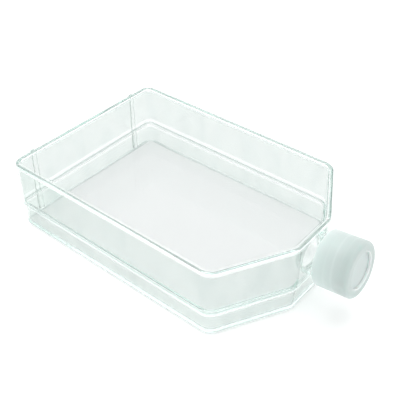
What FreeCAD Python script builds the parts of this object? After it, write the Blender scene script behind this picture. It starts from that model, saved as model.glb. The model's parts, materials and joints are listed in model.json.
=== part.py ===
"""Cell culture flask of clear polystyrene with a vented screw cap.

The vessel is two mouldings welded together: an upper shell, which is the roof, the walls and
the canted neck, and a shallow base tray whose floor is the growth surface. The cap is one
moulding that screws on to the neck and carries a disc of filter membrane in its end.

Row frame: millimetres, +Z up, +X towards the neck. The origin is on the table, under the
middle of the vessel. Round pieces are made about their own axis, with heights measured along
the neck from the outside of the front wall, and are then laid along the canted neck.
"""

import FreeCAD, Part
import math
import os

# Vessel
body_length = 172.0  # outside of the back wall to outside of the front wall
body_width = 118.0  # across the two long walls
body_height = 45.2  # table to the top of the stacking rim
shoulder_length = 24.0  # length along X of each slanting shoulder
front_width = 31.0  # width of the narrow front wall that carries the neck
back_corner = 6.5  # radius of the upright outside corners at the back wall
side_corner = 9.0  # the same where the long walls turn into the shoulders
front_corner = 11.0  # the same where the shoulders turn into the front wall
wall = 1.8  # thickness of walls and roof
smallest_corner = 1.0  # no upright corner, inside or out, is sharper than this

# Stacking rim round the roof
rim_width = 3.1
rim_height = 1.2  # rim's top above the roof
rim_outer_round = 1.5  # rounding of the rim's outside edge
rim_round = 0.45  # rounding of its inside edges
roof_fillet = 1.0  # inside, where the walls meet the roof

# Base tray and the weld between the two mouldings
tray_inset = 1.3  # how far the tray's walls stand in from the shell's
tray_height = 16.0  # table to the weld
tray_flange = 1.8  # thickness of the flange that is welded to the shell
floor_thickness = 2.0
floor_fillet = 1.5  # inside, where the floor meets the walls
foot_round = 1.2  # outside edge that stands on the table
weld_band = 1.2  # height of the thicker band along the foot of the shell's walls
seam_round = 0.3  # small rounding each side of the weld

# Ribs on the back wall, which the flask stands on when it is upright
rib_margin = 16.5  # outside of a side wall to the centre of the rib beside it
rib_width = 3.0
rib_depth = 1.4  # how far a rib stands out of the back wall
rib_round = 0.5
rib_drop = 1.0  # top of the ribs below the top of the rim

# Neck
neck_cant = 7.0  # degrees that the neck's axis rises above the horizontal
neck_drop = 1.1  # top of the neck, where it leaves the front wall, below the top of the rim
neck_bore = 10.0  # radius
neck_wall = 1.8
neck_length = 24.6  # front wall to the mouth, along the axis
neck_fillet = 0.5  # where the neck grows out of the front wall
lip_round = 0.5

# Screw thread, right-handed with one start
thread_pitch = 4.5
thread_height = 1.3
thread_root_width = 2.0
thread_crest_width = 0.9
thread_sink = 0.3  # how far a ridge's base is buried in its wall
thread_clearance = 0.5  # between a crest and the wall that faces it
thread_end_slope = 60.0  # degrees by which a ridge's blunt end leans back
neck_thread = (10.6, 3.6)  # where the neck's ridge starts and ends, back from the mouth
cap_thread = (12.1, 5.1)  # the same for the ridge in the cap, when closed

# Cap
cap_length = 20.15
cap_wall = 1.9  # skirt outside the thread
cap_edge_round = 2.0
cap_skirt_round = 0.4
cap_seat_gap = 0.1  # neck's mouth to the cap's end wall
ledge_thickness = 1.2  # wall under the membrane
ledge_width = 1.4
recess_depth = 2.0
recess_round = 0.35
plug_length = 2.5
plug_wall = 0.85
plug_clearance = 0.35  # between the plug and the neck's bore
spoke_width = 1.2
spoke_count = 6
spoke_sink = 0.3  # how far a spoke runs into the ledge
hub_radius = 2.0

# Filter membrane
membrane_thickness = 0.4
membrane_side_gap = 0.2
membrane_seat_gap = 0.05

# Shapes closer than this are the same, in mm
same = 1e-3

# Worked out from the sizes above
front_x = body_length / 2
shoulder_turn = math.atan2((body_width - front_width) / 2, shoulder_length)
tray_wall_inset = tray_inset + wall  # inside face of the tray's walls
roof_underside = body_height - rim_height - wall
rib_middle = body_width / 2 - rib_margin
neck_radius = neck_bore + neck_wall
neck_axis_height = body_height - neck_drop - neck_radius / math.cos(math.radians(neck_cant))
neck_root = FreeCAD.Vector(front_x, 0, neck_axis_height)  # where the axis leaves the front wall
cap_bore = neck_radius + thread_height + thread_clearance
cap_radius = cap_bore + cap_wall
cap_underside = neck_length + cap_seat_gap
cap_end = cap_underside + ledge_thickness + recess_depth
cap_foot = cap_end - cap_length
plug_radius = neck_bore - plug_clearance
window_radius = plug_radius - plug_wall
recess_radius = window_radius + ledge_width


def plan_corners(inset):
    """Corners of the six-sided plan, with each side moved inwards by inset."""
    shoulder_x = front_x - shoulder_length - inset * math.tan(shoulder_turn / 2)
    half_front = front_width / 2 - inset * math.tan((math.pi / 2 - shoulder_turn) / 2)
    half_width = body_width / 2 - inset
    end_x = front_x - inset
    right = [(-end_x, -half_width), (shoulder_x, -half_width), (end_x, -half_front)]
    return right + [(x, -y) for x, y in reversed(right)]


def edges_at(shape, height):
    """Edges that lie in the level plane at that height."""
    box = [(edge, edge.BoundBox) for edge in shape.Edges]
    return [edge for edge, b in box if max(abs(b.ZMin - height), abs(b.ZMax - height)) < same]


def left_by(cutter, shape, height):
    """Level edges of shape at that height that the cutter's own edges left there."""
    middles = [edge.CenterOfMass for edge in edges_at(cutter, height)]
    level = edges_at(shape, height)
    return [e for e in level if any(e.CenterOfMass.isEqual(m, same) for m in middles)]


def plan_prism(inset, low, high):
    """Upright block on the six-sided plan, with its upright corners rounded."""
    points = [FreeCAD.Vector(x, y, low) for x, y in plan_corners(inset)]
    outline = Part.makePolygon(points + points[:1])
    block = Part.Face(outline).extrude(FreeCAD.Vector(0, 0, high - low))
    rounds = [back_corner, side_corner, front_corner]
    middle = FreeCAD.Vector(0, 0, (high - low) / 2)
    for corner, radius in zip(points, rounds + rounds[::-1]):
        upright = [edge for edge in block.Edges if edge.CenterOfMass.isEqual(corner + middle, same)]
        block = block.makeFillet(max(radius - inset, smallest_corner), upright)
    return block


def back_ribs(inset, low, high):
    """The pair of ribs on the back wall, whose own face stands in by inset."""
    ribs = []
    for side in (-1, 1):
        rib = Part.makeBox(rib_depth + inset + wall / 2, rib_width, high - low)
        outer = [e for e in rib.Edges if e.BoundBox.XMax < same and e.BoundBox.YLength < same]
        rib = rib.makeFillet(rib_round, outer)
        rib.translate(FreeCAD.Vector(-front_x - rib_depth, side * rib_middle - rib_width / 2, low))
        ribs.append(rib)
    return ribs


def turned(profile):
    """Solid of revolution about Z from its half section, a list of (radius, height)."""
    points = [FreeCAD.Vector(radius, 0, height) for radius, height in profile]
    section = Part.Face(Part.makePolygon(points + points[:1]))
    return section.revolve(FreeCAD.Vector(0, 0, 0), FreeCAD.Vector(0, 0, 1), 360)


def disc(radius, low, high):
    """Plain round block about Z, from height low to height high."""
    return Part.makeCylinder(radius, high - low, FreeCAD.Vector(0, 0, low))


def rings(shape, radius, height):
    """Circular edges about Z of that radius, at that height."""
    return [
        edge
        for edge in edges_at(shape, height)
        if isinstance(edge.Curve, Part.Circle) and abs(edge.Curve.Radius - radius) < same
    ]


def thread_ridge(wall_radius, outwards, reach, line):
    """Ridge of the screw thread about Z, between two distances back from the mouth.

    outwards is 1 on a neck and -1 in a cap. line is the height at which the ridge's centre
    line would cross angle 0, so two ridges on lines half a pitch apart run between each other.
    """
    low, high = [neck_length - back for back in reach]
    base = wall_radius - outwards * thread_sink
    crest = wall_radius + outwards * thread_height
    half_root, half_crest = thread_root_width / 2, thread_crest_width / 2
    section = [(base, -half_root), (crest, -half_crest), (crest, half_crest), (base, half_root)]
    points = [FreeCAD.Vector(radius, 0, height) for radius, height in section]
    helix = Part.makeHelix(thread_pitch, high - low, wall_radius)
    ridge = Part.Wire(helix).makePipeShell([Part.makePolygon(points + points[:1])], True, True)
    turns = (high - low) / thread_pitch
    for angle, lean, height in ((0, 1, 0), (360 * turns, -1, high - low)):
        ridge = ridge.cut(end_bevel(base, lean * outwards, lean, angle, height))
    ridge.rotate(FreeCAD.Vector(0, 0, 0), FreeCAD.Vector(0, 0, 1), 360 * (low - line) / thread_pitch)
    ridge.translate(FreeCAD.Vector(0, 0, low))
    return ridge


def end_bevel(radius, tilt, side, angle, height):
    """Block that leans the blunt end of a ridge back, so that a thread starts smoothly."""
    size = 4 * thread_height
    block = Part.makeBox(2 * size, size, 2 * size)
    block.translate(FreeCAD.Vector(-size, 0 if side < 0 else -size, -size))
    axis = FreeCAD.Vector(0, 0, 1)
    block.rotate(FreeCAD.Vector(0, 0, 0), axis, tilt * thread_end_slope)
    block.translate(FreeCAD.Vector(radius, 0, height))
    block.rotate(FreeCAD.Vector(0, 0, 0), axis, angle)
    return block


def lay_along_neck(shape):
    """Turns a piece made about Z so that its axis is the neck's, rooted in the front wall."""
    laid = shape.copy()
    laid.rotate(FreeCAD.Vector(0, 0, 0), FreeCAD.Vector(0, 1, 0), 90 - neck_cant)
    laid.translate(neck_root)
    return laid


def mouth_edges(shell):
    """The two circles round the neck's mouth, inside and outside the lip."""
    rise = math.radians(neck_cant)
    mouth = neck_root + FreeCAD.Vector(math.cos(rise), 0, math.sin(rise)) * neck_length
    circles = [edge for edge in shell.Edges if isinstance(edge.Curve, Part.Circle)]
    return [edge for edge in circles if edge.Curve.Center.isEqual(mouth, same)]


def make_body_shell():
    """Upper moulding: roof with its stacking rim, walls, back ribs, and neck with its thread."""
    shell = plan_prism(0, tray_height, body_height)
    shell = shell.makeFillet(rim_outer_round, edges_at(shell, body_height))
    shell = shell.makeFillet(seam_round, edges_at(shell, tray_height))
    shell = shell.fuse(back_ribs(0, tray_height, body_height - rib_drop))
    stub = disc(neck_radius, -wall, neck_length)
    shell = shell.fuse(lay_along_neck(stub)).removeSplitter()
    root = [edge for edge in shell.Edges if isinstance(edge.Curve, Part.Ellipse)]
    shell = shell.makeFillet(neck_fillet, root)
    cavity = plan_prism(wall, tray_height + weld_band, roof_underside)
    cavity = cavity.makeFillet(roof_fillet, edges_at(cavity, roof_underside))
    foot = plan_prism(tray_wall_inset, tray_height, tray_height + weld_band)
    recess = plan_prism(rim_width, body_height - rim_height, body_height)
    recess = recess.makeFillet(rim_round, edges_at(recess, body_height - rim_height))
    bore = disc(neck_bore, -(wall + neck_bore), cap_end)
    shell = shell.cut([cavity, foot, recess, lay_along_neck(bore)])
    shell = shell.makeFillet(rim_round, left_by(recess, shell, body_height))
    shell = shell.makeFillet(lip_round, mouth_edges(shell))
    ridge = thread_ridge(neck_radius, 1, neck_thread, 0)
    return shell.fuse(lay_along_neck(ridge)).Solids[0]


def make_base_tray():
    """Lower moulding: floor, low walls, and the flange that is welded to the shell."""
    tray = plan_prism(tray_inset, 0, tray_height)
    tray = tray.makeFillet(foot_round, edges_at(tray, 0))
    flange = plan_prism(0, tray_height - tray_flange, tray_height)
    flange = flange.makeFillet(seam_round, edges_at(flange, tray_height - tray_flange))
    flange = flange.makeFillet(seam_round, edges_at(flange, tray_height))
    tray = tray.fuse([flange] + back_ribs(tray_inset, foot_round, tray_height))
    cavity = plan_prism(tray_wall_inset, floor_thickness, tray_height)
    cavity = cavity.makeFillet(floor_fillet, edges_at(cavity, floor_thickness))
    return tray.cut(cavity).removeSplitter().Solids[0]


def make_cap_shell():
    """Cap moulding: threaded skirt, sealing plug, and an end wall with a spoked window."""
    cap = disc(cap_radius, cap_foot, cap_end)
    cap = cap.makeFillet(cap_edge_round, rings(cap, cap_radius, cap_end))
    cap = cap.makeFillet(cap_skirt_round, rings(cap, cap_radius, cap_foot))
    plug_foot = cap_underside - plug_length
    hollow = turned(
        [
            (0, cap_foot),
            (cap_bore, cap_foot),
            (cap_bore, cap_underside),
            (plug_radius, cap_underside),
            (plug_radius, plug_foot),
            (0, plug_foot),
        ]
    )
    ledge_top = cap_end - recess_depth
    window = disc(window_radius, plug_foot, ledge_top)
    recess = disc(recess_radius, ledge_top, cap_end)
    cap = cap.cut([hollow, window, recess])
    cap = cap.makeFillet(recess_round, rings(cap, recess_radius, cap_end))
    spokes = [disc(hub_radius, cap_underside, ledge_top)]
    for number in range(spoke_count):
        spoke = Part.makeBox(window_radius + spoke_sink, spoke_width, ledge_thickness)
        spoke.translate(FreeCAD.Vector(0, -spoke_width / 2, cap_underside))
        spoke.rotate(FreeCAD.Vector(0, 0, 0), FreeCAD.Vector(0, 0, 1), number * 360 / spoke_count)
        spokes.append(spoke)
    ridge = thread_ridge(cap_bore, -1, cap_thread, thread_pitch / 2)
    return lay_along_neck(cap.fuse(spokes + [ridge]).removeSplitter().Solids[0])


def make_vent_membrane():
    """Disc of filter membrane that lies on the ledge in the cap's recess."""
    seat = cap_end - recess_depth + membrane_seat_gap
    return lay_along_neck(disc(recess_radius - membrane_side_gap, seat, seat + membrane_thickness))


pieces = {
    "body_shell": make_body_shell(),
    "base_tray": make_base_tray(),
    "cap_shell": make_cap_shell(),
    "vent_membrane": make_vent_membrane(),
}
os.makedirs("parts", exist_ok=True)
for name, piece in pieces.items():
    piece.exportStep(f"parts/{name}.step")
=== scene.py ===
"""Cell culture flask: looks of the welded clear polystyrene vessel and its vented screw cap.

Everything is in metres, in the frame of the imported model: +X towards the neck, +Z up, and the
foot of the vessel at height 0, with the origin near its middle.
"""

import functools
import json
import math

import bmesh
import bpy
import numpy as np
from mathutils import Matrix, Vector


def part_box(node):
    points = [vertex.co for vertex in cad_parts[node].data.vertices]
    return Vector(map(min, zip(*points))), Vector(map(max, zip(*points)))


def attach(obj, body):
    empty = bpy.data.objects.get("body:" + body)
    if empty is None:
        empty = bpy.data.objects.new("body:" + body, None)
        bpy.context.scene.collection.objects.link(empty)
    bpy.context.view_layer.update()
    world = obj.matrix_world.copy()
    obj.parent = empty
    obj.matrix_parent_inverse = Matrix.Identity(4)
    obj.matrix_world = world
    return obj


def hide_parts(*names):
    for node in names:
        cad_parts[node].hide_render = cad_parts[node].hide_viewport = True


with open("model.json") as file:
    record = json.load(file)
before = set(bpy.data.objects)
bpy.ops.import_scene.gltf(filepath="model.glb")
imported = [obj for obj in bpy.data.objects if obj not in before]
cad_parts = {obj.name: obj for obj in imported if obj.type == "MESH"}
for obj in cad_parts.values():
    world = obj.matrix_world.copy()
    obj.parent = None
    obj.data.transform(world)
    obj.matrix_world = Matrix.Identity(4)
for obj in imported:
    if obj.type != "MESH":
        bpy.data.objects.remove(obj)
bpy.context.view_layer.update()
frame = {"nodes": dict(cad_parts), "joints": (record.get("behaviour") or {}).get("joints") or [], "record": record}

# Camera. A short telephoto stands off the shoulder on the -Y side of the neck, and looks down on
# the roof.
CAMERA_AT = Vector((0.2099, -0.2484, 0.2837))
LOOK_HEADING = math.radians(128.986)
LOOK_DOWN = math.radians(37.02)
CAMERA_ROLL = math.radians(0.22)
CAMERA_LENS = 63.0  # mm
SENSOR_WIDTH = 36.0  # mm
FRAME_SHIFT = -0.05  # share of the frame's width
NEAREST = 0.01  # metres from which the camera sees


def add_camera():
    """Camera that looks along one direction: heading from +X, dip below level, and a small roll."""
    camera = bpy.data.objects.new("camera", bpy.data.cameras.new("camera"))
    level = Vector((math.cos(LOOK_HEADING), math.sin(LOOK_HEADING), 0))
    ahead = level * math.cos(LOOK_DOWN) - Vector((0, 0, math.sin(LOOK_DOWN)))
    turn = ahead.to_track_quat("-Z", "Y").to_matrix().to_4x4()
    camera.matrix_world = Matrix.Translation(CAMERA_AT) @ turn @ Matrix.Rotation(CAMERA_ROLL, 4, "Z")
    camera.data.sensor_width = SENSOR_WIDTH
    camera.data.lens = CAMERA_LENS
    camera.data.shift_y = FRAME_SHIFT
    camera.data.clip_start = NEAREST
    bpy.context.scene.collection.objects.link(camera)
    bpy.context.scene.camera = camera


add_camera()

# Studio. A white table under a soft overhead lamp, in a pale room that is brighter behind the
# flask than in front of it, so that edges of clear plastic show as grey lines between white ones.
TABLE_TOP = -0.0003
TABLE_HALF = 3.0
TABLE_TONE = (0.95, 0.95, 0.95, 1)
TABLE_GLOW = 0.12  # light that comes up through the table
ROOM_BACK_HEADING = math.radians(160)
ROOM_FRONT, ROOM_BACK = 0.8, 0.95  # brightness of the room in front and behind
ROOM_TURN = 0.8  # cosine of the angle from straight in front or behind where these are reached
LAMP_HEADING = math.radians(150)  # the lamp leans back from straight overhead
LAMP_LEAN = math.radians(11)
LAMP_EDGE = (math.radians(36), math.radians(26))  # from its middle to where it fades out and in
LAMP_LIGHT = 1.4
GUIDED_LIGHT = 1.5  # brightness of the light that edges of clear plastic carry
GUIDED_REACH = 1e-5  # metres past which nothing shades that light
BOUNCES = 24  # turns of light before it is taken as coming straight from the room
SPARE_BOUNCES = 8


def add_table():
    """Level square sheet just under the flask's foot."""
    mesh = bpy.data.meshes.new("table")
    across = TABLE_HALF * np.array([(-1, -1), (1, -1), (1, 1), (-1, 1)])
    mesh.from_pydata(np.column_stack([across, np.full(4, TABLE_TOP)]), [], [(0, 1, 2, 3)])
    table = bpy.data.objects.new("table", mesh)
    bpy.context.scene.collection.objects.link(table)
    material = bpy.data.materials.new("white_table")
    material.use_nodes = True
    shader = material.node_tree.nodes["Principled BSDF"]
    shader.inputs["Base Color"].default_value = TABLE_TONE
    shader.inputs["Roughness"].default_value = 1.0
    shader.inputs["Specular IOR Level"].default_value = 0.0
    shader.inputs["Emission Color"].default_value = (1, 1, 1, 1)
    shader.inputs["Emission Strength"].default_value = TABLE_GLOW
    mesh.materials.append(material)


def fade(tree, value, start, end, low, high):
    """Smooth step of a socket's value from low, at start, to high, at end."""
    step = tree.nodes.new("ShaderNodeMapRange")
    step.interpolation_type = "SMOOTHSTEP"
    for name, number in zip(("From Min", "From Max", "To Min", "To Max"), (start, end, low, high)):
        step.inputs[name].default_value = number
    tree.links.new(value, step.inputs["Value"])
    return step.outputs["Result"]


def ramp_towards(tree, direction, start, end, low, high):
    """Brightness that climbs by a smooth step with the cosine of the angle to a direction."""
    place = tree.nodes.new("ShaderNodeTexCoord")
    along = tree.nodes.new("ShaderNodeVectorMath")
    along.operation = "DOT_PRODUCT"
    along.inputs[1].default_value = direction
    tree.links.new(place.outputs["Generated"], along.inputs[0])
    return fade(tree, along.outputs["Value"], start, end, low, high)


def light_room():
    """World that is the sum of the room's own brightness and the lamp's, and how its light travels.

    After its last bounce a ray takes the brightness of the room itself, so that light caught in
    the edges of clear plastic comes out pale, as it does from real edges, and not black.
    """
    world = bpy.data.worlds.new("studio")
    world.use_nodes = True
    tree = world.node_tree
    back = (math.cos(ROOM_BACK_HEADING), math.sin(ROOM_BACK_HEADING), 0)
    lean, over = math.sin(LAMP_LEAN), math.cos(LAMP_LEAN)
    lamp = (lean * math.cos(LAMP_HEADING), lean * math.sin(LAMP_HEADING), over)
    fade_out, fade_in = [math.cos(angle) for angle in LAMP_EDGE]
    total = tree.nodes.new("ShaderNodeMath")
    total.operation = "ADD"
    room = ramp_towards(tree, back, -ROOM_TURN, ROOM_TURN, ROOM_FRONT, ROOM_BACK)
    tree.links.new(room, total.inputs[0])
    tree.links.new(ramp_towards(tree, lamp, fade_out, fade_in, 0, LAMP_LIGHT), total.inputs[1])
    tree.links.new(total.outputs[0], tree.nodes["Background"].inputs["Strength"])
    tree.nodes["Background"].inputs["Color"].default_value = (1, 1, 1, 1)
    scene = bpy.context.scene
    scene.world = world
    scene.view_settings.view_transform = "Standard"
    scene.cycles.caustics_reflective = True
    scene.cycles.caustics_refractive = True
    scene.cycles.blur_glossy = 0.0
    for kind in ("max_bounces", "transmission_bounces", "glossy_bounces"):
        setattr(scene.cycles, kind, BOUNCES + SPARE_BOUNCES)
    scene.cycles.use_fast_gi = True
    scene.cycles.fast_gi_method = "REPLACE"
    scene.cycles.ao_bounces = BOUNCES
    scene.cycles.ao_bounces_render = BOUNCES
    world.light_settings.distance = GUIDED_REACH
    world.light_settings.ao_factor = GUIDED_LIGHT


add_table()
light_room()


# The vessel. Two mouldings of clear polystyrene: a shell, with the roof, walls, stacking rim and
# threaded neck, and a flat tray that is the growth surface. They are welded together a little above
# the foot, so that the weld shows as a line all round.
SHARP_ANGLE = math.radians(35)  # two faces that meet at more than this keep a crisp edge
MERGE_DISTANCE = 1e-6
LARGE_FACES = 100  # how much large faces count over small ones in the shading, at the most


def smooth_copy(node, body):
    """Copy of a CAD node with its triangles joined up and its curved faces shaded smooth."""
    name = node + "_surface"
    mesh = frame["nodes"][node].data.copy()
    mesh.name = name
    piece = bpy.data.objects.new(name, mesh)
    bpy.context.scene.collection.objects.link(piece)
    made = bmesh.new()
    made.from_mesh(mesh)
    bmesh.ops.remove_doubles(made, verts=made.verts, dist=MERGE_DISTANCE)
    made.to_mesh(mesh)
    made.free()
    if mesh.has_custom_normals:
        with bpy.context.temp_override(active_object=piece, object=piece, selected_objects=[piece]):
            bpy.ops.mesh.customdata_custom_splitnormals_clear()
    mesh.shade_smooth()
    mesh.set_sharp_from_angle(angle=SHARP_ANGLE)
    even = piece.modifiers.new("even_faces", "WEIGHTED_NORMAL")
    even.keep_sharp = True
    even.weight = LARGE_FACES
    mesh.materials.clear()
    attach(piece, body)
    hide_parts(node)
    return piece


FACE_TINT = (0.912, 0.917, 0.917, 1)  # light that level faces let through
SIDE_SHADE_TINT = (0.765, 0.812, 0.793, 1)  # deeper for upright faces: painted shade on the walls
STREAK_TINT = (0.71, 0.77, 0.753, 1)  # along the upright streaks of the mould's flow
STREAK_SIZE = (0.013, 0.013, 0.05)  # metres, longest upwards
STREAK_RANGE = (0.42, 0.68)  # values of the pattern where a streak begins and is full
STREAK_DETAIL = 3.0
STREAK_WANDER = 0.6
RIM_PAINTED_SHADE = (0.35, 0.44, 0.41, 1)  # painted shade: a dark line on the upper part of the stacking rim's outer rounding
RIM_SHOULDER_PAINTED_SHADE = (0.22, 0.29, 0.27, 1)  # the same painted shade, deeper along the slanting shoulders
RIM_SHADE_DEPTH = 0.0009  # how far below the rim's top its painted shade ends
RIM_SHADE_BLEND = 0.0001
RIM_SHADE_SLOPES = (0.35, 0.5, 0.96, 0.98)  # upward parts of the normal where it comes and goes
TOP_DEPTH = 0.0001  # how far below its top the rim still counts as level
TOP_BLEND = 0.000075
CLEAR_DEPTH = 0.0032  # how far below the rim's top the walls stay clear of painted shade
ROUNDED_DEPTH = 0.0041  # how far below the rim's top the roundings at the roof's edge, clear of painted shade, end
UPRIGHT_SLOPES = (0.04, 0.15)  # upward part of the normal where a wall turns into a rounding
LEVEL_SLOPES = (0.985, 0.997)  # the same where a rounding turns into a level face
SHOULDER_SPAN = (0.061, 0.0845)  # where along X the shoulders run
SHOULDER_BLEND = 0.002
FLOOR_EDGE_PAINTED_SHADE = (0.33, 0.355, 0.35, 1)  # painted shade: a dark line along the floor's outer edge, in the shoulders
FLOOR_SHADE_TOP = 0.002
FOOT_PAINTED_SHADE = (0.30, 0.36, 0.35, 1)  # painted shade: a dark line on the rounded edge of the foot
FOOT_SHADE_HEIGHT = 0.0009
FOOT_SHADE_BLEND = 0.00045
FOOT_SHADE_SLOPES = (0.95, 0.99)  # upward part of the normal where that rounding turns level
# Painted light: the band round the weld is nearly clear, lighter than the walls.
WELD_PAINTED_LIGHT = (0.97, 0.985, 0.98, 1)
WELD_BELOW, WELD_ABOVE = 0.0022, 0.0028  # the weld's lighter band of painted light reaches this far down and up
NECK_TINT = (0.93, 0.95, 0.945, 1)
NO_TINT = (1, 1, 1, 1)
BAND_BLEND = 0.0003  # metres over which the other bands fade


def raise_bump(tree, height, depth, under=None):
    """Normal of a surface that a pattern raises by up to depth, on top of another bump."""
    bump = tree.nodes.new("ShaderNodeBump")
    bump.inputs["Distance"].default_value = depth
    tree.links.new(height, bump.inputs["Height"])
    if under:
        tree.links.new(under, bump.inputs["Normal"])
    return bump.outputs["Normal"]


def calculate(tree, operation, *values):
    """Output of a Math node. A value that is a socket is linked, and a number is set."""
    node = tree.nodes.new("ShaderNodeMath")
    node.operation = operation
    for socket, value in zip(node.inputs, values):
        if isinstance(value, bpy.types.NodeSocket):
            tree.links.new(value, socket)
        else:
            socket.default_value = value
    return node.outputs[0]


def multiply(tree, sockets):
    """Product of several sockets."""
    return functools.reduce(lambda one, other: calculate(tree, "MULTIPLY", one, other), sockets)


def mix_tints(tree, factor, under, over):
    """Colour that goes from one tint to another with a factor. A tint is a colour or a socket."""
    mix = tree.nodes.new("ShaderNodeMix")
    mix.data_type = "RGBA"
    tree.links.new(factor, mix.inputs["Factor"])
    for name, tint in (("A", under), ("B", over)):
        if isinstance(tint, bpy.types.NodeSocket):
            tree.links.new(tint, mix.inputs[name])
        else:
            mix.inputs[name].default_value = tint
    return mix.outputs["Result"]


def window(tree, value, edges):
    """1 between the middle two of four edges, by a smooth step up to them and one down past them."""
    come = fade(tree, value, edges[0], edges[1], 0, 1)
    return multiply(tree, [come, fade(tree, value, edges[2], edges[3], 1, 0)])


def streaked_walls(tree, place):
    """Tint of upright faces, deepened as painted shade, with streaks where a noise that is stretched upwards is
    high.
    """
    stretch = tree.nodes.new("ShaderNodeMapping")
    stretch.inputs["Scale"].default_value = [1 / size for size in STREAK_SIZE]
    tree.links.new(place.outputs["Object"], stretch.inputs["Vector"])
    streaks = tree.nodes.new("ShaderNodeTexNoise")
    streaks.inputs["Scale"].default_value = 1.0
    streaks.inputs["Detail"].default_value = STREAK_DETAIL
    streaks.inputs["Distortion"].default_value = STREAK_WANDER
    tree.links.new(stretch.outputs["Vector"], streaks.inputs["Vector"])
    streaked = fade(tree, streaks.outputs["Fac"], *STREAK_RANGE, 0, 1)
    return mix_tints(tree, streaked, SIDE_SHADE_TINT, STREAK_TINT)


def vessel_tint(tree, place, rim_top, weld, front):
    """Light let through, by the face's slope, its height and its place along the vessel, with
    painted light and shade.

    It goes with the upright part of the normal from one tint on level faces to a deeper one on
    walls, which is painted shade. Each band below is the product of its steps, and lays its own
    tint over the last: the weld, lighter as painted light; the neck; the roundings and walls under
    the rim and the rim's top, kept clear of painted shade; and painted shade as dark lines on the
    rim's outer rounding, the floor's edge and the rounding of the foot.
    """
    facing = tree.nodes.new("ShaderNodeSeparateXYZ")
    tree.links.new(place.outputs["Normal"], facing.inputs[0])
    level = calculate(tree, "ABSOLUTE", facing.outputs["Z"])
    spot = tree.nodes.new("ShaderNodeSeparateXYZ")
    tree.links.new(place.outputs["Object"], spot.inputs[0])
    along, _, height = spot.outputs

    def above(bottom, blend):
        """Step from 0 at one height to 1 a blend further up."""
        return fade(tree, height, bottom, bottom + blend, 0, 1)

    def below(top, blend):
        """Step from 1 a blend under one height to 0 at it."""
        return fade(tree, height, top - blend, top, 1, 0)

    # Painted light: a lighter band round the weld.
    low, high = weld - WELD_BELOW, weld + WELD_ABOVE
    at_weld = window(tree, height, (low - BAND_BLEND, low, high, high + BAND_BLEND))
    on_neck = fade(tree, along, front, front + BAND_BLEND, 0, 1)
    off_neck = fade(tree, along, front, front + BAND_BLEND, 1, 0)
    near_rim = above(rim_top - CLEAR_DEPTH - BAND_BLEND, BAND_BLEND)
    off_upright = fade(tree, level, *UPRIGHT_SLOPES, 0, 1)
    at_roundings = [
        off_neck,
        above(rim_top - ROUNDED_DEPTH, BAND_BLEND),
        calculate(tree, "MAXIMUM", near_rim, off_upright),
        fade(tree, level, *LEVEL_SLOPES, 1, 0),
    ]
    on_top = above(rim_top - TOP_DEPTH, TOP_BLEND)
    # Painted shade: a dark line on the upper part of the rim's outer rounding.
    painted_rim_shade = [
        off_neck,
        above(rim_top - RIM_SHADE_DEPTH, RIM_SHADE_BLEND),
        window(tree, level, RIM_SHADE_SLOPES),
    ]
    start, end = SHOULDER_SPAN
    on_shoulder = window(tree, along, (start, start + SHOULDER_BLEND, end - SHOULDER_BLEND, end))
    # Painted shade: a dark line along the floor's outer edge in the shoulders.
    painted_floor_shade = [
        on_shoulder,
        below(FLOOR_SHADE_TOP, BAND_BLEND),
        fade(tree, level, *UPRIGHT_SLOPES, 1, 0),
    ]
    # Painted shade: a dark line on the rounded edge of the foot.
    painted_foot_shade = [
        below(FOOT_SHADE_HEIGHT, FOOT_SHADE_BLEND),
        fade(tree, level, *FOOT_SHADE_SLOPES, 1, 0),
    ]
    bands = [
        ([at_weld], WELD_PAINTED_LIGHT),
        ([on_neck], NECK_TINT),
        (at_roundings, NO_TINT),
        ([off_neck, on_top], NO_TINT),
        (painted_rim_shade, mix_tints(tree, on_shoulder, RIM_PAINTED_SHADE, RIM_SHOULDER_PAINTED_SHADE)),
        (painted_floor_shade, FLOOR_EDGE_PAINTED_SHADE),
        (painted_foot_shade, FOOT_PAINTED_SHADE),
    ]
    # Painted shade: upright faces take a deeper tint than level faces.
    tint = mix_tints(tree, level, streaked_walls(tree, place), FACE_TINT)
    for steps, band in bands:
        tint = mix_tints(tree, multiply(tree, steps), tint, band)
    return tint


CLEAR_BENDING = 1.59  # refractive index of polystyrene
FUSED_BENDING = 1.0  # the same where the mouldings are one, so that nothing bends light there
FLOW_SIZE = 0.024  # metres between the gentle waves that the mould's flow leaves
FLOW_DEPTH = 0.00009
FLOW_DETAIL = 1.5
DEPTH_COLOUR = (0.80, 0.91, 0.88, 1)  # thick plastic looks faintly green
DEPTH_DENSITY = 10.0  # per metre


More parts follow.
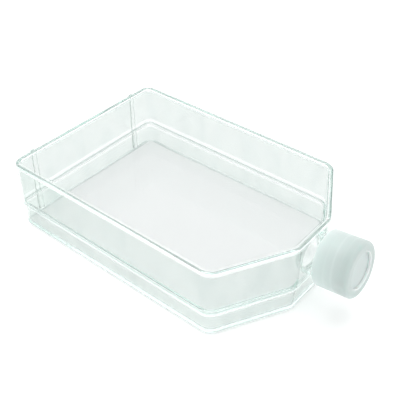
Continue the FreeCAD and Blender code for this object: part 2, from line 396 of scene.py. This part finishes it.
def clear_plastic(name, bending, tint_by=None):
    """Clear moulded plastic with gentle waves and a green depth. bending is its refractive index.

    The waves are one noise on the object's own coordinates, raised as bump. tint_by gives the
    arguments of the vessel's tint, and without it every face lets all the light through.
    """
    material = bpy.data.materials.new(name)
    material.use_nodes = True
    tree = material.node_tree
    nodes, links = tree.nodes, tree.links
    shader = nodes["Principled BSDF"]
    shader.inputs["Base Color"].default_value = NO_TINT
    shader.inputs["Roughness"].default_value = 0.0
    shader.inputs["IOR"].default_value = bending
    shader.inputs["Transmission Weight"].default_value = 1.0
    place = nodes.new("ShaderNodeTexCoord")
    if tint_by:
        links.new(vessel_tint(tree, place, *tint_by), shader.inputs["Base Color"])
    waves = nodes.new("ShaderNodeTexNoise")
    waves.inputs["Scale"].default_value = 1 / FLOW_SIZE
    waves.inputs["Detail"].default_value = FLOW_DETAIL
    links.new(place.outputs["Object"], waves.inputs["Vector"])
    links.new(raise_bump(tree, waves.outputs["Fac"], FLOW_DEPTH), shader.inputs["Normal"])
    depth = nodes.new("ShaderNodeVolumeAbsorption")
    depth.inputs["Color"].default_value = DEPTH_COLOUR
    depth.inputs["Density"].default_value = DEPTH_DENSITY
    links.new(depth.outputs["Volume"], nodes["Material Output"].inputs["Volume"])
    return material


WELD_CLOSE = 2e-6  # metres within which a corner counts as in the weld's plane
WELD_STEP = 1e-5
WELD_LEVEL = 0.99  # upward part of the normal past which a face counts as level


def part_at_weld(mesh, height, shift, fused):
    """Sets the level faces at the weld back from it by shift, with the finish of fused plastic.

    Two faces in one plane would catch the light between them, so each steps back a hair.
    """
    spots = np.empty((len(mesh.vertices), 3))
    mesh.vertices.foreach_get("co", spots.ravel())
    spots[abs(spots[:, 2] - height) < WELD_CLOSE, 2] += shift
    mesh.vertices.foreach_set("co", spots.ravel())
    mesh.update()
    centres = np.empty((len(mesh.polygons), 3))
    normals = np.empty((len(mesh.polygons), 3))
    mesh.polygons.foreach_get("center", centres.ravel())
    mesh.polygons.foreach_get("normal", normals.ravel())
    in_plane = abs(centres[:, 2] - height - shift) < WELD_CLOSE
    at_weld = in_plane & (abs(normals[:, 2]) > WELD_LEVEL)
    mesh.materials.append(fused)
    mesh.polygons.foreach_set("material_index", at_weld.astype(np.int32))


weld_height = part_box("base_tray")[1].z
mounts = {mount["name"]: mount for mount in frame["record"]["mounts"]}
rim_top = mounts["stacking_rim"]["pos_m"][2]
turning = next(joint for joint in frame["joints"] if joint["name"] == "cap_turn")
neck_root = Vector(turning["pos_m"])
front = neck_root.x
polystyrene = clear_plastic("clear_polystyrene", CLEAR_BENDING, (rim_top, weld_height, front))
fused_weld = clear_plastic("fused_polystyrene", FUSED_BENDING)
for node, shift in (("body_shell", WELD_STEP), ("base_tray", -WELD_STEP)):
    piece = smooth_copy(node, "vessel")
    piece.data.materials.append(polystyrene)
    part_at_weld(piece.data, weld_height, shift, fused_weld)

# The cap. One moulding of milky polyethylene with a smooth skirt, which screws onto the neck.
# Painted light marks the turns of the thread faintly through the skirt, painted light and shade
# make the tone paler at the foot and deeper at the rounded edge, and a painted highlight lies on
# the wall of the recess in the end.
CAP_PAINTED_SHADES = (  # painted light and shade, each with its share of the cap's length: the foot, the skirt, its edge, the end
    (0.0, (0.63, 0.697, 0.682, 1)),
    (0.35, (0.58, 0.65, 0.635, 1)),
    (0.94, (0.50, 0.567, 0.552, 1)),
    (0.995, (0.53, 0.597, 0.582, 1)),
)
RECESS_PAINTED_HIGHLIGHT = (0.80, 0.845, 0.835, 1)  # painted highlight on the wall of the recess in the end
RECESS_SHARES = (0.80, 0.81)  # shares of the cap's length past which the recess lies
RECESS_GAP = 0.0002  # metres between the membrane's edge and the recess wall
RECESS_EDGE = (0.0001, 0.0004)  # how far into that wall its painted highlight starts to fade, and is gone
THREAD_PITCH = 0.0045
THREAD_FADES = (0.25, 0.38, 0.66, 0.78)  # shares of the cap's length where the turns come and go
THREAD_CREST = 5.0  # the higher, the thinner a turn of the thread
# Painted light: the turns of the thread appear as pale bands through the skirt.
THREAD_PAINTED_LIGHT = (0.80, 0.86, 0.85, 1)
THREAD_LIGHT_SHOW = 0.15  # how far the painted light over a turn of the thread goes towards the tone above
THREAD_SWELL = 0.00006
GRAIN_SIZE = 0.0011
GRAIN_DETAIL = 3.0
GRAIN_RANGE = (0.3, 0.7)  # values of the pattern between which the roughness climbs
GRAIN_ROUGHNESS = (0.38, 0.5)
GRAIN_DEPTH = 0.000012
MILKY_RADIUS = (0.8, 1.0, 0.95)  # how far red, green and blue spread in milky plastic
CAP_SPREAD = 0.004  # metres that light spreads


def along_neck(tree, start, rise):
    """Coordinates from a point on the neck's axis, with X along the axis, which climbs by rise."""
    place = tree.nodes.new("ShaderNodeTexCoord")
    turned = tree.nodes.new("ShaderNodeMapping")
    turned.vector_type = "TEXTURE"
    turned.inputs["Location"].default_value = start
    turned.inputs["Rotation"].default_value = (0, -rise, 0)
    tree.links.new(place.outputs["Object"], turned.inputs["Vector"])
    return turned.outputs["Vector"]


def from_axis(tree, across, up):
    """Distance from the axis: the root of the two squares' sum."""
    squares = [calculate(tree, "MULTIPLY", side, side) for side in (across, up)]
    return calculate(tree, "SQRT", calculate(tree, "ADD", *squares))


def thread_turns(tree, along, across, up, share):
    """1 on the crest of a turn of the thread and 0 between the turns.

    The distance along the axis, in pitches, less the angle round it, in turns, is a whole number
    on the helix, so its cosine is highest there. A power of it makes the turns thin.
    """
    turns = calculate(tree, "DIVIDE", calculate(tree, "ARCTAN2", up, across), 2 * math.pi)
    pitches = calculate(tree, "DIVIDE", along, THREAD_PITCH)
    phase = calculate(tree, "MULTIPLY", calculate(tree, "SUBTRACT", pitches, turns), 2 * math.pi)
    wave = calculate(tree, "MULTIPLY_ADD", calculate(tree, "COSINE", phase), 0.5, 0.5)
    crest = calculate(tree, "POWER", wave, THREAD_CREST)
    return multiply(tree, [crest, window(tree, share, THREAD_FADES)])


def spread_light(shader, distance):
    """Lets light spread under the surface, as it does in milky plastic and in film."""
    shader.inputs["Subsurface Weight"].default_value = 1.0
    shader.inputs["Subsurface Radius"].default_value = MILKY_RADIUS
    shader.inputs["Subsurface Scale"].default_value = distance


def cap_plastic(foot, rise, length, recess_radius):
    """Milky plastic whose tone follows the cap's length as painted shade, and lightens over the
    thread's turns as painted light.

    The wall of the recess, near the end and within its radius of the axis, has a painted highlight.
    """
    material = bpy.data.materials.new("milky_polyethylene")
    material.use_nodes = True
    tree = material.node_tree
    nodes, links = tree.nodes, tree.links
    shader = nodes["Principled BSDF"]
    centred = along_neck(tree, foot, rise)
    split = nodes.new("ShaderNodeSeparateXYZ")
    links.new(centred, split.inputs[0])
    along, across, up = split.outputs
    share = calculate(tree, "DIVIDE", along, length)
    # Painted light and shade along the cap's length.
    shade_ramp = nodes.new("ShaderNodeValToRGB")
    shade_ramp.color_ramp.interpolation = "EASE"
    stops = shade_ramp.color_ramp.elements
    for number, (position, tone) in enumerate(CAP_PAINTED_SHADES):
        stop = stops[number] if number < len(stops) else stops.new(position)
        stop.position = position
        stop.color = tone
    links.new(share, shade_ramp.inputs["Fac"])

    ridge = thread_turns(tree, along, across, up, share)
    # Painted light over the turns of the thread.
    thread_light = calculate(tree, "MULTIPLY", ridge, THREAD_LIGHT_SHOW)
    tone = mix_tints(tree, thread_light, shade_ramp.outputs["Color"], THREAD_PAINTED_LIGHT)
    away = from_axis(tree, across, up)
    edge = [recess_radius + depth for depth in RECESS_EDGE]
    # Painted highlight on the wall of the recess.
    recess_highlight = [
        fade(tree, away, *edge, 1, 0),
        fade(tree, share, *RECESS_SHARES, 0, 1),
    ]
    tone = mix_tints(tree, multiply(tree, recess_highlight), tone, RECESS_PAINTED_HIGHLIGHT)
    links.new(tone, shader.inputs["Base Color"])

    grain = nodes.new("ShaderNodeTexNoise")
    grain.inputs["Scale"].default_value = 1 / GRAIN_SIZE
    grain.inputs["Detail"].default_value = GRAIN_DETAIL
    links.new(centred, grain.inputs["Vector"])
    roughness = fade(tree, grain.outputs["Fac"], *GRAIN_RANGE, *GRAIN_ROUGHNESS)
    links.new(roughness, shader.inputs["Roughness"])
    swell = raise_bump(tree, ridge, THREAD_SWELL)
    links.new(raise_bump(tree, grain.outputs["Fac"], GRAIN_DEPTH, swell), shader.inputs["Normal"])
    spread_light(shader, CAP_SPREAD)
    return material


def reach_along(node, start, direction):
    """Least and greatest distance of a CAD node's corners from a point, along a direction."""
    mesh = frame["nodes"][node].data
    spots = np.empty((len(mesh.vertices), 3))
    mesh.vertices.foreach_get("co", spots.ravel())
    distances = (spots - np.array(start)) @ np.array(direction)
    return distances.min(), distances.max()


neck_axis = Vector(turning["axis"])
neck_rise = math.atan2(neck_axis.z, neck_axis.x)
cap_start, cap_end = reach_along("cap_shell", neck_root, neck_axis)
cap = smooth_copy("cap_shell", "cap")
cap_foot = neck_root + neck_axis * cap_start
film_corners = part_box("vent_membrane")
film_radius = (film_corners[1].y - film_corners[0].y) / 2
cap_length = cap_end - cap_start
polyethylene = cap_plastic(cap_foot, neck_rise, cap_length, film_radius + RECESS_GAP)
cap.data.materials.append(polyethylene)

# The filter membrane. A disc of porous white film in the recess of the cap's end wall, heat-sealed
# round its edge, where the film is pressed clear. It lets gas through and keeps dust out.
FILM_TONE = (0.60, 0.67, 0.657, 1)
SEAL_TONE = (0.56, 0.635, 0.62, 1)
SEAL_WIDTH = 0.0012
SEAL_BLEND = 0.0003
FILM_ROUGHNESS = 0.85
SEAL_ROUGHNESS = 0.45
FIBRE_SIZE = 0.0006
FIBRE_DETAIL = 4.0
FIBRE_TANGLE = 1.2
FIBRE_RANGE = (0.35, 0.65)  # values of the pattern between which the film deepens
FIBRE_SHOW = 0.25  # how far it then goes towards the seal's tone
FIBRE_DEPTH = 0.00002
FILM_SAG = 0.00012  # gentle hollows between the spokes behind the film
FILM_SAG_SIZE = 0.007
FILM_SPREAD = 0.001  # metres that light spreads


def porous_film(centre, rise, radius):
    """Matt fibrous film: a fine tangled noise for the fibres, and a wide one for the hollows.

    The seal is where the distance from the axis passes the radius less the seal's width.
    """
    material = bpy.data.materials.new("porous_film")
    material.use_nodes = True
    tree = material.node_tree
    nodes, links = tree.nodes, tree.links
    shader = nodes["Principled BSDF"]
    centred = along_neck(tree, centre, rise)
    split = nodes.new("ShaderNodeSeparateXYZ")
    links.new(centred, split.inputs[0])
    away = from_axis(tree, *split.outputs[1:])
    seal = (radius - SEAL_WIDTH - SEAL_BLEND, radius - SEAL_WIDTH)
    sealed = fade(tree, away, *seal, 0, 1)

    fibres = nodes.new("ShaderNodeTexNoise")
    fibres.inputs["Scale"].default_value = 1 / FIBRE_SIZE
    fibres.inputs["Detail"].default_value = FIBRE_DETAIL
    fibres.inputs["Distortion"].default_value = FIBRE_TANGLE
    hollows = nodes.new("ShaderNodeTexNoise")
    hollows.inputs["Scale"].default_value = 1 / FILM_SAG_SIZE
    hollows.inputs["Detail"].default_value = 0.0
    for pattern in (fibres, hollows):
        links.new(centred, pattern.inputs["Vector"])
    mottle = fade(tree, fibres.outputs["Fac"], *FIBRE_RANGE, 0, FIBRE_SHOW)
    deeper = calculate(tree, "MAXIMUM", sealed, mottle)
    links.new(mix_tints(tree, deeper, FILM_TONE, SEAL_TONE), shader.inputs["Base Color"])
    roughness = fade(tree, away, *seal, FILM_ROUGHNESS, SEAL_ROUGHNESS)
    links.new(roughness, shader.inputs["Roughness"])
    sag = raise_bump(tree, hollows.outputs["Fac"], FILM_SAG)
    links.new(raise_bump(tree, fibres.outputs["Fac"], FIBRE_DEPTH, sag), shader.inputs["Normal"])
    spread_light(shader, FILM_SPREAD)
    return material


film_start, _ = reach_along("vent_membrane", neck_root, neck_axis)
membrane = smooth_copy("vent_membrane", "membrane")
film_centre = neck_root + neck_axis * film_start
membrane.data.materials.append(porous_film(film_centre, neck_rise, film_radius))
